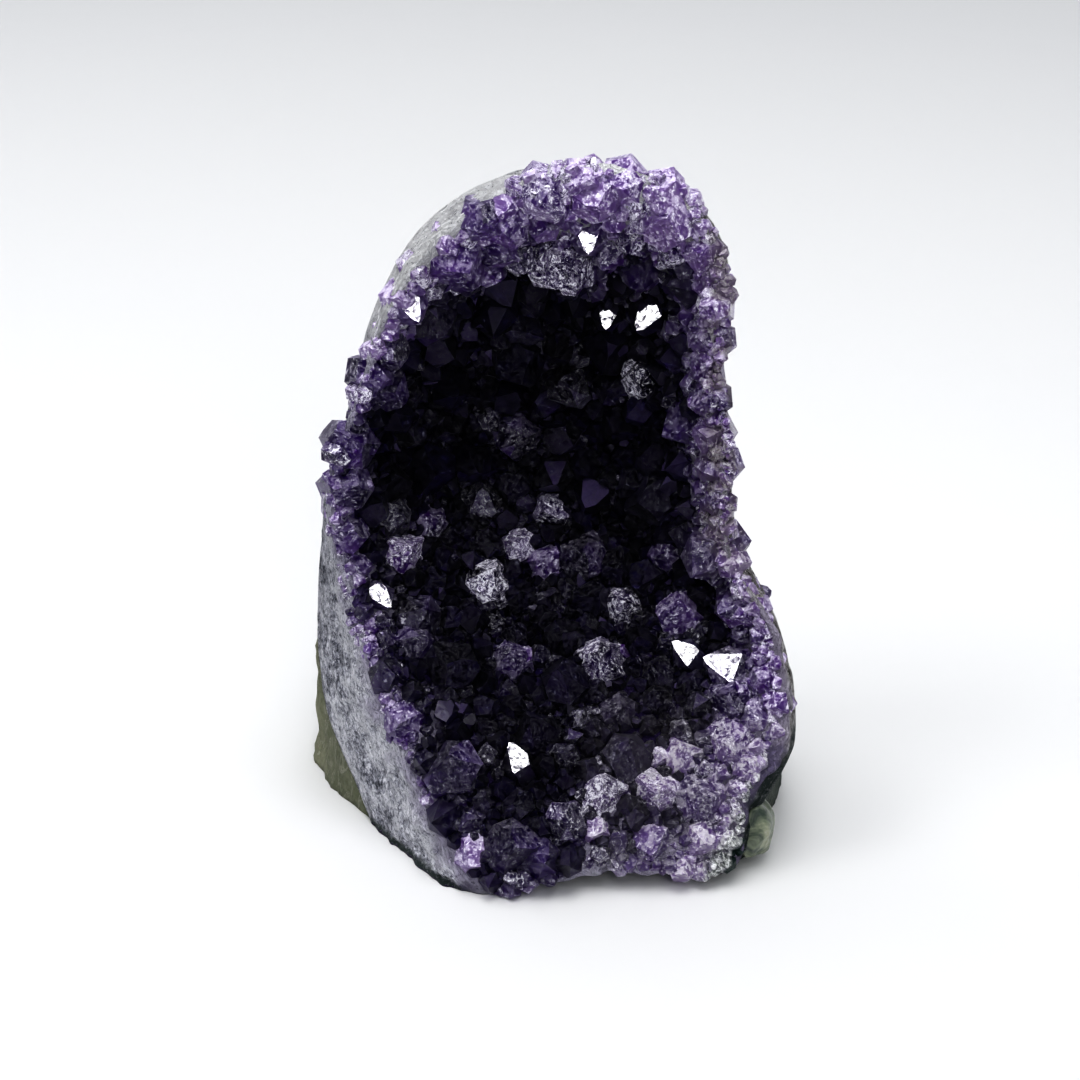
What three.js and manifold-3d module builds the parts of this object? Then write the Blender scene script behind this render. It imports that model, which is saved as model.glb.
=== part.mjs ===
// A free-standing amethyst cluster: the wall of a geode, sawn flat underneath so that it stands by itself.
// Four things grew in layers: a dark basalt rind, a pale quartz band that lines it, the intergrown amethyst
// crystals on the band, and a knob of grey-green chalcedony in the rind's lower right corner.
// Millimetres, +Z up. The crystals face -Y. The origin is under the middle of the cluster, on the surface.
import * as THREE from 'three';
import { ParametricGeometry } from 'three/addons/geometries/ParametricGeometry.js';
import { mergeVertices } from 'three/addons/utils/BufferGeometryUtils.js';
import Module from 'manifold-3d';

const wasm = await Module();
wasm.setup();

// Driving dimensions
const GAP = 0.3;               // clearance between layers that touch
const POCKET = { y: 27, z: 98, below: 0.0073, above: 0.0125 };  // deepest line of the hollow, and its curvature
const MIDDLE = { x: 1, z: 70 };                                 // middle of the hollow in front view
const BAND_THICKNESS = 6;      // quartz between the rind and the crystals, in the middle
const BED_THICKNESS = 3.4;     // solid amethyst under the valleys between crystals
const CRYSTAL_HEIGHT = 5.5;    // a tip above the valleys round it
const CRYSTAL_SCATTER = 1.1;   // how far a tip or valley strays from an even spacing
const BALL_DETAIL = 14;        // crystals across the druse: one more than this is a multiple of three
const BACK = { x: -2, y: 39, z: 52 };                           // the rind's rearmost point
const FLANK = 0.25;            // share of the outside that lies before its widest line
const LUMP_IN_HOLLOW = 1.2;    // how far the hollow's lumps rise
const LUMP_BEHIND = 2.2;       // how far the back's lumps rise
const KNOB = { radii: [5.2, 7, 7], at: [42.8, -24.5, 7.8], turn: 0.2 };
const AROUND = 36;             // facets around the rind and the band
const ROWS = 7;                // rows of facets on each surface of the rind and the band

// Stations go round the rim from the middle of the front foot, up the left side, over the top and down the
// right. Each gives the rim of the crystals, the rim of the band, and the widest line of the rind, which runs
// below the sawn foot at the bottom.
const STATIONS = [
  { crystals: [10, -36, 5], band: [10, -31, 4.5], rind: [9, -2, -14] },
  { crystals: [-15, -38, 1], band: [-21, -37, -4], rind: [-26, -18, -42] },
  { crystals: [-27, -26, 13], band: [-35, -21, -7], rind: [-40, -12, -34] },
  { crystals: [-34, -16, 27], band: [-43, -8, 5], rind: [-51, 0, -20] },
  { crystals: [-40, -8, 41], band: [-51, 4, 20], rind: [-56, 13, -2] },
  { crystals: [-44.5, -2, 56], band: [-52.5, 8, 40], rind: [-54.5, 16, 30] },
  { crystals: [-47, 1, 76], band: [-49.5, 6, 66], rind: [-49, 18, 62] },
  { crystals: [-40, 3, 98], band: [-43, 8, 93], rind: [-42, 18, 90] },
  { crystals: [-33, 4, 118], band: [-36.5, 10, 115.5], rind: [-34.5, 19, 112] },
  { crystals: [-19, 6, 134], band: [-24.5, 13, 133], rind: [-23, 20, 128] },
  { crystals: [1, 8, 144], band: [-3, 15, 142.5], rind: [-4, 21, 137] },
  { crystals: [22, 8, 141], band: [23, 14, 139], rind: [22, 20, 135] },
  { crystals: [32.5, 6, 125], band: [35, 12, 125], rind: [34.5, 20, 122] },
  { crystals: [32, 4, 102], band: [35, 10, 101], rind: [35, 18, 99] },
  { crystals: [35, 1, 80], band: [37.5, 8, 79], rind: [37, 17, 77] },
  { crystals: [37.5, -4, 62], band: [40, 4, 62], rind: [40, 15, 58] },
  { crystals: [48, -12, 46], band: [49, -5, 45], rind: [49, 8, 40] },
  { crystals: [50, -22, 30], band: [52, -15, 25], rind: [53, 2, 14] },
  { crystals: [41.5, -29.5, 18], band: [44, -26, 14], rind: [49.5, -5, -8] },
  { crystals: [36, -34.5, 3], band: [37, -31, 2.5], rind: [42, -9, -26] },
];

const ring = (key) => new THREE.CatmullRomCurve3(
  STATIONS.map((s) => new THREE.Vector3(...s[key])), true, 'catmullrom', 0.5);
const crystalRim = ring('crystals');
const bandRim = ring('band');
const rindRim = ring('rind');

// Slow lumps of a surface at share u out and turn t round, none at its middle and its rim.
function lumps(u, t, size) {
  const a = t * 2 * Math.PI;
  return size * (Math.sin(3 * a + 5 * u) * Math.cos(7 * u + 1.3)
    + 0.6 * Math.sin(5 * a - 9 * u + 2.1) + 0.4 * Math.cos(8 * a + 11 * u + 0.7)) * u * (1 - u) * 2;
}

// How far back the hollow is at a height: a parabola each side of its deepest line.
function hollow(z) {
  return POCKET.y - (z < POCKET.z ? POCKET.below : POCKET.above) * (z - POCKET.z) ** 2;
}

// A bowl at share u out from its middle to a rim, standing forward of the hollow's quartz face.
function bowl(rim, u, t, forward, target) {
  const edge = rim.getPoint(t % 1);
  const x = MIDDLE.x + (edge.x - MIDDLE.x) * u;
  const z = MIDDLE.z + (edge.z - MIDDLE.z) * u;
  const lip = u ** 3.2;
  return target.set(x, (hollow(z) + lumps(u, t, LUMP_IN_HOLLOW)) * (1 - lip) + edge.y * lip - forward, z);
}

// The way out from the middle of the rind, across the line of sight from the front.
function outward(t) {
  const wide = rindRim.getPoint(t % 1);
  return new THREE.Vector3(wide.x - BACK.x, 0, wide.z - BACK.z).normalize();
}

// The outside, from the band's rim (v = 0) by the rind's widest line to the rearmost point (v = 1),
// standing proud of itself by a clearance, about half of it at the rim and none at the rearmost point.
function outside(v, t, proud, target) {
  const front = bandRim.getPoint(t % 1);
  const wide = rindRim.getPoint(t % 1);
  if (v < FLANK) {
    target.lerpVectors(front, wide, v / FLANK);
  } else {
    const round = (v - FLANK) / (1 - FLANK);
    const out = Math.cos(round * Math.PI / 2) ** 0.7;
    const back = Math.sin(round * Math.PI / 2) ** 0.9;
    target.set(BACK.x + (wide.x - BACK.x) * out, wide.y + (BACK.y - wide.y) * back + lumps(round, t, LUMP_BEHIND),
      BACK.z + (wide.z - BACK.z) * out);
  }
  target.addScaledVector(outward(t), proud * Math.min(1, 0.55 + v * 4, (1 - v) * 4));
  target.y += proud * Math.min(1, v * 4 - 1);
}

// Turns a geometry into a manifold-3d solid: shared vertices merged, faces that collapse at a pole dropped.
function solidOf(geometry) {
  const bare = new THREE.BufferGeometry().setAttribute('position', geometry.getAttribute('position'));
  if (geometry.index) bare.setIndex(geometry.index);
  const merged = mergeVertices(bare, 1e-4);
  const corners = merged.index.array;
  const kept = [];
  for (let i = 0; i < corners.length; i += 3) {
    const [a, b, c] = [corners[i], corners[i + 1], corners[i + 2]];
    if (a !== b && b !== c && a !== c) kept.push(a, b, c);
  }
  const positions = merged.getAttribute('position').array;
  const build = (triangles) => new wasm.Manifold(new wasm.Mesh({
    numProp: 3, vertProperties: positions, triVerts: new Uint32Array(triangles),
  }));
  const solid = build(kept);
  return solid.volume() >= 0 ? solid : build(kept.reverse());
}

// A closed solid from surfaces run one after another, each a function of share along and turn round.
function loft(...surfaces) {
  return solidOf(new ParametricGeometry((along, turn, target) => {
    const i = Math.min(surfaces.length - 1, Math.floor(along * surfaces.length + 1e-9));
    surfaces[i](along * surfaces.length - i, turn, target);
  }, ROWS * surfaces.length, AROUND));
}

// The rind: its face behind the band, then its outside, standing proud of itself by a clearance.
function rindBody(proud) {
  return loft(
    (u, t, p) => bowl(bandRim, u, t, proud - BAND_THICKNESS * (1 - u ** 4), p),
    (v, t, p) => outside(v, t, proud, p));
}

// The band: the face that the crystals cover, the strip seen at the rim, and the face on the rind.
function bandBody(proud) {
  return loft(
    (u, t, p) => bowl(crystalRim, u, t, proud, p),
    (u, t, p) => {
      p.lerpVectors(crystalRim.getPoint(t % 1), bandRim.getPoint(t % 1), u);
      p.addScaledVector(outward(t), 2 * proud * u);
      p.y -= proud;
    },
    (u, t, p) => bowl(bandRim, 1 - u, t, -proud - BAND_THICKNESS * (1 - (1 - u) ** 4), p));
}

// A repeatable number from -1 to 1 for crystal i and use k.
function chance(i, k) {
  const x = Math.sin(i * 127.1 + k * 311.7) * 43758.5453;
  return 2 * (x - Math.floor(x)) - 1;
}

// Marks every third vertex of a closed triangular grid: each triangle has exactly one marked corner.
function tips(corners, count) {
  const marked = new Int8Array(count).fill(-1);
  const across = new Map();
  for (let i = 0; i < corners.length; i += 3) {
    for (let k = 0; k < 3; k += 1) {
      across.set(`${corners[i + k]},${corners[i + (k + 1) % 3]}`, corners[i + (k + 2) % 3]);
    }
  }
  marked[corners[0]] = 1;
  marked[corners[1]] = 0;
  marked[corners[2]] = 0;
  const open = [[corners[0], corners[1]], [corners[1], corners[2]], [corners[2], corners[0]]];
  while (open.length) {
    const [a, b] = open.pop();
    const c = across.get(`${b},${a}`);
    if (marked[c] < 0) {
      marked[c] = marked[a] + marked[b] ? 0 : 1;
      open.push([a, c], [c, b]);
    }
  }
  return marked;
}

// The druse: a ball whose front half is pressed onto the hollow and whose back half lies in the quartz. Every
// third vertex in front is a crystal's tip, so that each tip stands in a ring of valleys as a six-sided point.
function druseBody() {
  const ball = new THREE.IcosahedronGeometry(1, BALL_DETAIL).rotateX(0.31).rotateY(0.17);
  const bare = new THREE.BufferGeometry().setAttribute('position', ball.getAttribute('position'));
  const merged = mergeVertices(bare, 1e-4);
  const at = merged.getAttribute('position');
  const tip = tips(merged.index.array, at.count);
  const point = new THREE.Vector3();
  const further = new THREE.Vector3();
  const beside = new THREE.Vector3();
  for (let i = 0; i < at.count; i += 1) {
    point.fromBufferAttribute(at, i).normalize();
    const front = point.y < 0;
    const turn = (Math.atan2(-point.x, -point.z) / (2 * Math.PI) + 1) % 1;
    const share = Math.sqrt(Math.max(0, 1 - Math.abs(point.y)));
    if (front) {
      bowl(crystalRim, share, turn, GAP, point);
      bowl(crystalRim, share + 0.01, turn, GAP, further);
      bowl(crystalRim, share, turn + 0.01, GAP, beside);
      const normal = further.sub(point).cross(beside.sub(point)).normalize();
      if (normal.y > 0) normal.negate();
      const inside = 1 - share ** 6;
      const rise = tip[i] * CRYSTAL_HEIGHT * (1 + 0.4 * chance(i, 1)) * (0.5 + 0.5 * inside);
      point.addScaledVector(normal, BED_THICKNESS * (0.2 + 0.8 * inside) + 0.5 * chance(i, 2) + rise);
      point.x += CRYSTAL_SCATTER * chance(i, 3) * inside;
      point.z += CRYSTAL_SCATTER * chance(i, 4) * inside;
    } else {
      bowl(crystalRim, share, turn, -1.5 * (1 - share ** 6) + GAP, point);
    }
    at.setXYZ(i, ...point);
  }
  return solidOf(merged);
}

// The knob is a lump grown on the rind's lower right corner, just clear of the surface below.
function knobBody() {
  const [wide, deep, tall] = KNOB.radii;
  const lump = new THREE.IcosahedronGeometry(1, 3);
  const at = lump.getAttribute('position');
  const point = new THREE.Vector3();
  for (let i = 0; i < at.count; i += 1) {
    point.fromBufferAttribute(at, i).normalize();
    const bump = 1 + 0.09 * Math.sin(5 * point.x + 3 * point.z) + 0.07 * Math.cos(6 * point.y - 4 * point.z);
    at.setXYZ(i, point.x * wide * bump, point.y * deep * bump, point.z * tall * bump);
  }
  return solidOf(lump.rotateY(KNOB.turn).translate(...KNOB.at));
}

// Everything above the sawn foot, and the largest body where a cut leaves crumbs.
function sawn(solid) {
  const room = new THREE.BoxGeometry(400, 400, 400).translate(0, 0, 200);
  return solid.intersect(solidOf(room)).decompose().sort((a, b) => b.volume() - a.volume())[0];
}

const MATERIALS = {
  basalt_rind: new THREE.MeshStandardMaterial({ color: 0x5b6450, roughness: 0.9, metalness: 0 }),
  quartz_band: new THREE.MeshStandardMaterial({ color: 0xb9b6c4, roughness: 0.55, metalness: 0 }),
  amethyst_druse: new THREE.MeshStandardMaterial({ color: 0x3a1f66, roughness: 0.12, metalness: 0 }),
  chalcedony_knob: new THREE.MeshStandardMaterial({ color: 0x7c8a7c, roughness: 0.4, metalness: 0 }),
};

function meshOf(name, solid) {
  const { numProp, numVert, vertProperties, triVerts } = solid.getMesh();
  const positions = new Float32Array(numVert * 3);
  for (let i = 0; i < numVert; i += 1) {
    positions.set(vertProperties.subarray(i * numProp, i * numProp + 3), i * 3);
  }
  const geometry = new THREE.BufferGeometry()
    .setAttribute('position', new THREE.BufferAttribute(positions, 3))
    .setIndex(new THREE.BufferAttribute(triVerts, 1));
  const mesh = new THREE.Mesh(geometry, MATERIALS[name]);
  mesh.name = name;
  return mesh;
}

// Each layer is cut back by the layers that it grew on, a clearance larger.
const rindRoom = rindBody(GAP);
const backing = rindRoom.add(bandBody(GAP));
const cluster = new THREE.Group();
cluster.add(
  meshOf('basalt_rind', sawn(rindBody(0))),
  meshOf('quartz_band', sawn(bandBody(0).subtract(rindRoom))),
  meshOf('amethyst_druse', sawn(druseBody().subtract(backing))),
  meshOf('chalcedony_knob', sawn(knobBody().subtract(backing))),
);

// The origin goes under the middle of the cluster's box.
const box = new THREE.Box3().setFromObject(cluster);
cluster.position.set(-(box.min.x + box.max.x) / 2, -(box.min.y + box.max.y) / 2, 0);

export default cluster;
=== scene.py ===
import math

import bpy
import numpy as np
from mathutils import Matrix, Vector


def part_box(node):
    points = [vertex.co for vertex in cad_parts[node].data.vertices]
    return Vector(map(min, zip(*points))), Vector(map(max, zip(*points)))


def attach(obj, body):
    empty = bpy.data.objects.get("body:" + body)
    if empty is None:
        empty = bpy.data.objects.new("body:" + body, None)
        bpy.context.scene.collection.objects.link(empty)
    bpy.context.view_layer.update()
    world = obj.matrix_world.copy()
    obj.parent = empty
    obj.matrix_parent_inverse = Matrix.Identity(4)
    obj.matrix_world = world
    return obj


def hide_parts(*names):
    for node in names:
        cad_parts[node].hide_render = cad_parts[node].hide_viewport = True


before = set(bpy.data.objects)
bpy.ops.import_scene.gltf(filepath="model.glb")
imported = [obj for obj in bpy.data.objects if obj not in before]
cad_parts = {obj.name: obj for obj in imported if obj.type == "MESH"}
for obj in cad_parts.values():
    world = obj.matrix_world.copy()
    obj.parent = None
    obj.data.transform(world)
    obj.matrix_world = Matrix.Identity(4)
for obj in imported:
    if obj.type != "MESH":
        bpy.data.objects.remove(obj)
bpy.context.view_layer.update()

# ---------------------------------------------------------------------------------------------------------
# Basalt rind. The host rock that the geode grew in: a broken shell of dark green-grey basalt, weathered
# olive on its lower left flank, sawn flat underneath so that the piece stands by itself.

MM = 0.001
# The hollow: the depth and height of its deepest line, how fast it comes forward below and above that, and
# the power of the share out by which the rim's own depth takes over.
POCKET = {"y": 27, "z": 98, "below": 0.0073, "above": 0.0125, "lip": 3.2}
MIDDLE = np.array([1.0, 70.0])         # across and up, where the bowl's lines meet
BACK = np.array([-2.0, 39.0, 52.0])    # the rind's hindmost point
BAND_THICKNESS = 6

# Round the rim from the middle of the front foot, up the left, over the top and down the right: the rim of
# the crystals, the rim of the quartz band, and the rind's widest line, in millimetres.
STATIONS = np.array([
    [[10, -36, 5], [10, -31, 4.5], [9, -2, -14]],
    [[-15, -38, 1], [-21, -37, -4], [-26, -18, -42]],
    [[-27, -26, 13], [-35, -21, -7], [-40, -12, -34]],
    [[-34, -16, 27], [-43, -8, 5], [-51, 0, -20]],
    [[-40, -8, 41], [-51, 4, 20], [-56, 13, -2]],
    [[-44.5, -2, 56], [-52.5, 8, 40], [-54.5, 16, 30]],
    [[-47, 1, 76], [-49.5, 6, 66], [-49, 18, 62]],
    [[-40, 3, 98], [-43, 8, 93], [-42, 18, 90]],
    [[-33, 4, 118], [-36.5, 10, 115.5], [-34.5, 19, 112]],
    [[-19, 6, 134], [-24.5, 13, 133], [-23, 20, 128]],
    [[1, 8, 144], [-3, 15, 142.5], [-4, 21, 137]],
    [[22, 8, 141], [23, 14, 139], [22, 20, 135]],
    [[32.5, 6, 125], [35, 12, 125], [34.5, 20, 122]],
    [[32, 4, 102], [35, 10, 101], [35, 18, 99]],
    [[35, 1, 80], [37.5, 8, 79], [37, 17, 77]],
    [[37.5, -4, 62], [40, 4, 62], [40, 15, 58]],
    [[48, -12, 46], [49, -5, 45], [49, 8, 40]],
    [[50, -22, 30], [52, -15, 25], [53, 2, 14]],
    [[41.5, -29.5, 18], [44, -26, 14], [49.5, -5, -8]],
    [[36, -34.5, 3], [37, -31, 2.5], [42, -9, -26]],
], float)
CRYSTAL_RIM, BAND_RIM, RIND_RIM = STATIONS[:, 0], STATIONS[:, 1], STATIONS[:, 2]


def along(points, turn):
    """A closed Catmull-Rom spline: each stretch is a cubic whose end slopes join the points on either
    side."""
    count = len(points)
    place = (turn % 1) * count
    i = np.floor(place).astype(int)
    f = (place - i)[..., None]
    p0, p1, p2, p3 = (points[(i + k) % count] for k in (-1, 0, 1, 2))
    return 0.5 * (2 * p1 + (p2 - p0) * f + (2 * p0 - 5 * p1 + 4 * p2 - p3) * f**2
                  + (3 * p1 - p0 - 3 * p2 + p3) * f**3)


def lumps(u, t, size):
    """Slow lumps: sums of sines of the turn and the share out, faded to nothing at the middle and at the
    rim."""
    a = 2 * np.pi * t
    return size * (np.sin(3 * a + 5 * u) * np.cos(7 * u + 1.3) + 0.6 * np.sin(5 * a - 9 * u + 2.1)
                   + 0.4 * np.cos(8 * a + 11 * u + 0.7)) * u * (1 - u) * 2


def bowl(rim, u, t, forward=0.0):
    """A bowl: straight lines in front view from the middle to the rim, set back by a parabola of the height
    that gives way to the rim's own depth as a power of the share out."""
    edge = along(rim, t)
    x = MIDDLE[0] + (edge[..., 0] - MIDDLE[0]) * u
    z = MIDDLE[1] + (edge[..., 2] - MIDDLE[1]) * u
    bend = np.where(z < POCKET["z"], POCKET["below"], POCKET["above"])
    lip = u ** POCKET["lip"]
    y = (POCKET["y"] - bend * (z - POCKET["z"]) ** 2 + lumps(u, t, 1.2)) * (1 - lip) + edge[..., 1] * lip
    return np.stack([x, y - forward, z], -1)


def outside(v, t):
    """The rind's outside: straight from the band's rim to the widest line, then a quarter turn to the back,
    with powers of the cosine and sine that keep the flanks full."""
    wide = along(RIND_RIM, t)
    front = along(BAND_RIM, t)
    straight = 0.25   # the share of the rows that the straight part takes
    near = front + (wide - front) * np.clip(v / straight, 0, 1)[..., None]
    angle = np.clip((v - straight) / (1 - straight), 0, 1)
    out = np.cos(angle * np.pi / 2) ** 0.7
    back = np.sin(angle * np.pi / 2) ** 0.9
    far = np.stack([BACK[0] + (wide[..., 0] - BACK[0]) * out,
                    wide[..., 1] + (BACK[1] - wide[..., 1]) * back + lumps(angle, t, 2.2),
                    BACK[2] + (wide[..., 2] - BACK[2]) * out], -1)
    return np.where((v < straight)[..., None], near, far)


# Large numbers that scramble a corner's place, and then the result, into a repeatable number.
SCRAMBLE = {"x": 73856093, "y": 19349663, "z": 83492791, "seed": 2654435761, "again": 1274126177}


def grain(points, size, seed):
    """Value noise from -1 to 1: a repeatable number at each corner of a cubic grid of the given size,
    blended along each axis with the smooth step 3f^2 - 2f^3."""
    place = points / size + 1000.0
    corner = np.floor(place).astype(np.int64)
    f = place - corner
    f = f * f * (3 - 2 * f)
    total = 0.0
    for dx in (0, 1):
        for dy in (0, 1):
            for dz in (0, 1):
                x, y, z = corner[..., 0] + dx, corner[..., 1] + dy, corner[..., 2] + dz
                h = x * SCRAMBLE["x"] ^ y * SCRAMBLE["y"] ^ z * SCRAMBLE["z"] ^ seed * SCRAMBLE["seed"]
                h = h & 0xFFFFFFFF
                h = ((h ^ (h >> 13)) * SCRAMBLE["again"]) & 0xFFFFFFFF
                value = ((h ^ (h >> 16)) & 0xFFFF) / 32767.5 - 1
                weight = ((f[..., 0] if dx else 1 - f[..., 0]) * (f[..., 1] if dy else 1 - f[..., 1])
                          * (f[..., 2] if dz else 1 - f[..., 2]))
                total = total + value * weight
    return total


def facing(grid):
    """The unit normal at each point of a grid closed round its columns: the cross product of the
    differences round the columns and along the rows."""
    down = np.gradient(grid, axis=0)
    across = (np.roll(grid, -1, 1) - np.roll(grid, 1, 1)) / 2
    n = np.cross(across, down)
    return n / (np.linalg.norm(n, axis=-1, keepdims=True) + 1e-12)


def placed(name, data):
    """An object that holds a mesh, a light or a camera, put in the scene at the origin."""
    made = bpy.data.objects.new(name, data)
    bpy.context.scene.collection.objects.link(made)
    return made


def skin(name, grid, uv=None):
    """A closed mesh from a grid of rows and columns whose first and last rows are single points: triangles
    at the two poles and quads between."""
    rows, cols = grid.shape[:2]
    points = np.concatenate([grid[:1, 0], grid[1:-1].reshape(-1, 3), grid[-1:, 0]])
    ring = 1 + np.arange((rows - 2) * cols).reshape(rows - 2, cols)
    nxt = np.roll(ring, -1, 1)
    quads = np.stack([ring[:-1], nxt[:-1], nxt[1:], ring[1:]], -1).reshape(-1, 4)
    first = np.stack([np.zeros(cols, int), nxt[0], ring[0]], -1)
    last = np.stack([np.full(cols, len(points) - 1), ring[-1], nxt[-1]], -1)
    mesh = bpy.data.meshes.new(name)
    mesh.from_pydata(points * MM, [], [*first.tolist(), *quads.tolist(), *last.tolist()])
    mesh.polygons.foreach_set("use_smooth", np.ones(len(mesh.polygons), bool))
    if uv is not None:
        flat = np.concatenate([uv[:1, 0], uv[1:-1].reshape(-1, 2), uv[-1:, 0]])
        layer = mesh.attributes.new("growth", "FLOAT2", "POINT")
        layer.data.foreach_set("vector", flat.astype(np.float32).ravel())
    mesh.update()
    return placed(name, mesh)


class Level:
    """A number inside a material. Sums on it add Math nodes."""

    def __init__(self, finish, socket):
        self.finish = finish
        self.socket = socket

    def sum(self, kind, first, second, clamp=False):
        settings = {"operation": kind, "use_clamp": clamp}
        return self.finish.node("ShaderNodeMath", settings, {0: first, 1: second})

    def __add__(self, other):
        return self.sum("ADD", self, other)

    __radd__ = __add__

    def __sub__(self, other):
        return self.sum("SUBTRACT", self, other)

    def __rsub__(self, other):
        return self.sum("SUBTRACT", other, self)

    def __mul__(self, other):
        return self.sum("MULTIPLY", self, other)

    __rmul__ = __mul__

    def held(self):
        """The number kept between 0 and 1."""
        return self.sum("ADD", self, 0.0, clamp=True)

    def above(self, start, rate):
        """0 up to a start, then a rise to 1 at a rate."""
        return ((self - start) * rate).held()

    def below(self, start, rate):
        """0 down to a start, then a rise to 1 at a rate."""
        return ((start - self) * rate).held()

    def line(self, sharpness):
        """1 where the number is one half, falling away on both sides: a thin line through a noise."""
        away = self.finish.node("ShaderNodeMath", {"operation": "ABSOLUTE"}, {0: self - 0.5})
        return (1.0 - away * sharpness).held()


class Finish:
    """A material's nodes. Every node but a sum comes from node()."""

    def __init__(self, name):
        self.material = bpy.data.materials.new(name)
        self.material.use_nodes = True
        self.tree = self.material.node_tree
        self.tree.nodes.clear()
        self.output = self.tree.nodes.new("ShaderNodeOutputMaterial")

    def node(self, kind, settings=None, sockets=None, out=0):
        """Adds a node, makes its settings, then sets or links its inputs, and gives back one output."""
        made = self.tree.nodes.new(kind)
        for key, value in (settings or {}).items():
            if key == "stops":
                ramp = made.color_ramp
                while len(ramp.elements) < len(value):
                    ramp.elements.new(0.5)
                for element, (place, colour) in zip(ramp.elements, value):
                    element.position = place
                    element.color = (*colour, 1)
            else:
                setattr(made, key, value)
        for key, value in (sockets or {}).items():
            if isinstance(value, Level):
                self.tree.links.new(value.socket, made.inputs[key])
            else:
                made.inputs[key].default_value = value
        return Level(self, made.outputs[out])

    def end(self, surface, volume=None):
        self.tree.links.new(surface.socket, self.output.inputs["Surface"])
        if volume:
            self.tree.links.new(volume.socket, self.output.inputs["Volume"])
        return self.material

    def place(self):
        return self.node("ShaderNodeTexCoord", out="Object")

    def part(self, where, letter):
        return self.node("ShaderNodeSeparateXYZ", {}, {"Vector": where}, out=letter)

    def attribute(self, name, out="Fac"):
        return self.node("ShaderNodeAttribute", {"attribute_name": name}, out=out)

    def stretched(self, where, scale, turn=(0.0, 0.0, 0.0)):
        return self.node("ShaderNodeMapping", {}, {"Vector": where, "Scale": scale, "Rotation": turn})

    def noise(self, where, scale, detail=4.0, rough=0.55, distortion=0.0):
        sockets = {"Vector": where, "Scale": scale, "Detail": detail, "Roughness": rough,
                   "Distortion": distortion}
        return self.node("ShaderNodeTexNoise", {}, sockets, out="Fac")

    def cells(self, where, scale, out):
        return self.node("ShaderNodeTexVoronoi", {}, {"Vector": where, "Scale": scale}, out=out)

    def ramp(self, level, stops):
        return self.node("ShaderNodeValToRGB", {"stops": stops}, {"Fac": level}, out="Color")

    def blend(self, share, first, second):
        return self.node("ShaderNodeMix", {"data_type": "RGBA"}, {0: share, 6: first, 7: second}, out=2)

    def bump(self, height, strength, distance):
        sockets = {"Height": height, "Strength": strength, "Distance": distance}
        return self.node("ShaderNodeBump", {}, sockets)


ROWS_HIDDEN = 8     # under the band, where nothing shows
ROWS_OUTSIDE = 190
COLUMNS = 380
turns = np.arange(COLUMNS) / COLUMNS
inner_u, inner_t = np.meshgrid(np.linspace(0, 1, ROWS_HIDDEN, endpoint=False), turns, indexing="ij")
outer_v, outer_t = np.meshgrid(np.linspace(0, 1, ROWS_OUTSIDE), turns, indexing="ij")
# The rind's hidden front lies the band's thickness behind the bed, and comes out to the band's rim.
rind_front = bowl(BAND_RIM, inner_u, inner_t, -BAND_THICKNESS * (1 - inner_u**20))
rind_outside = outside(outer_v, outer_t)

# The cluster stands over the frame's origin, so the rim's numbers shift by what is left between the two.
cad_rind = np.array(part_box("basalt_rind")) / MM
shift = np.array([cad_rind[0][0] - rind_outside[..., 0].min(),
                  cad_rind[1][1] - rind_outside[..., 1].max(), 0])

# The break's relief in millimetres, from slow to fine. It is held back where the wall is thin, at the top.
rough = (1.5 * grain(rind_outside, 17, 1) + 1.0 * grain(rind_outside, 7, 2)
         + 0.5 * grain(rind_outside, 2.8, 3) + 0.22 * grain(rind_outside, 1.1, 4))
thin = np.clip((rind_outside[..., 2] - 60) / 30, 0, 1)
fade = np.clip(outer_v * (9 - 7 * thin), 0.12, 1) * np.clip((1 - outer_v) * 30, 0, 1) * (1 - 0.35 * thin)
rind_outside = rind_outside + facing(rind_outside) * (rough * fade - 0.5)[..., None]
rind_grid = np.concatenate([rind_front, rind_outside])
rind = skin("basalt_rind_stone", rind_grid + shift)


SAW = {"half": 0.2, "deep": 0.3}   # the block that is taken away under the foot, in metres


def sawn(piece):
    """Cuts a closed piece off flat at the height of the surface that the cluster stands on."""
    half = SAW["half"]
    corners = [(x, y, z) for z in (-SAW["deep"], 0.0) for y in (-half, half) for x in (-half, half)]
    block_mesh = bpy.data.meshes.new("saw")
    block_mesh.from_pydata(corners, [], [(0, 2, 3, 1), (4, 5, 7, 6), (0, 1, 5, 4),
                                         (2, 6, 7, 3), (0, 4, 6, 2), (1, 3, 7, 5)])
    block_mesh.materials.append(piece.data.materials[0])
    block = placed("saw", block_mesh)
    cut = piece.modifiers.new("sawn foot", "BOOLEAN")
    cut.object, cut.operation, cut.solver = block, "DIFFERENCE", "MANIFOLD"
    finished(piece)
    bpy.data.objects.remove(block)


def finished(piece):
    """Makes the result of a piece's modifiers its mesh."""
    bpy.context.view_layer.update()
    shape = piece.evaluated_get(bpy.context.evaluated_depsgraph_get())
    mesh = bpy.data.meshes.new_from_object(shape)
    piece.modifiers.clear()
    piece.data = mesh
    mesh.name = piece.name


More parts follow.
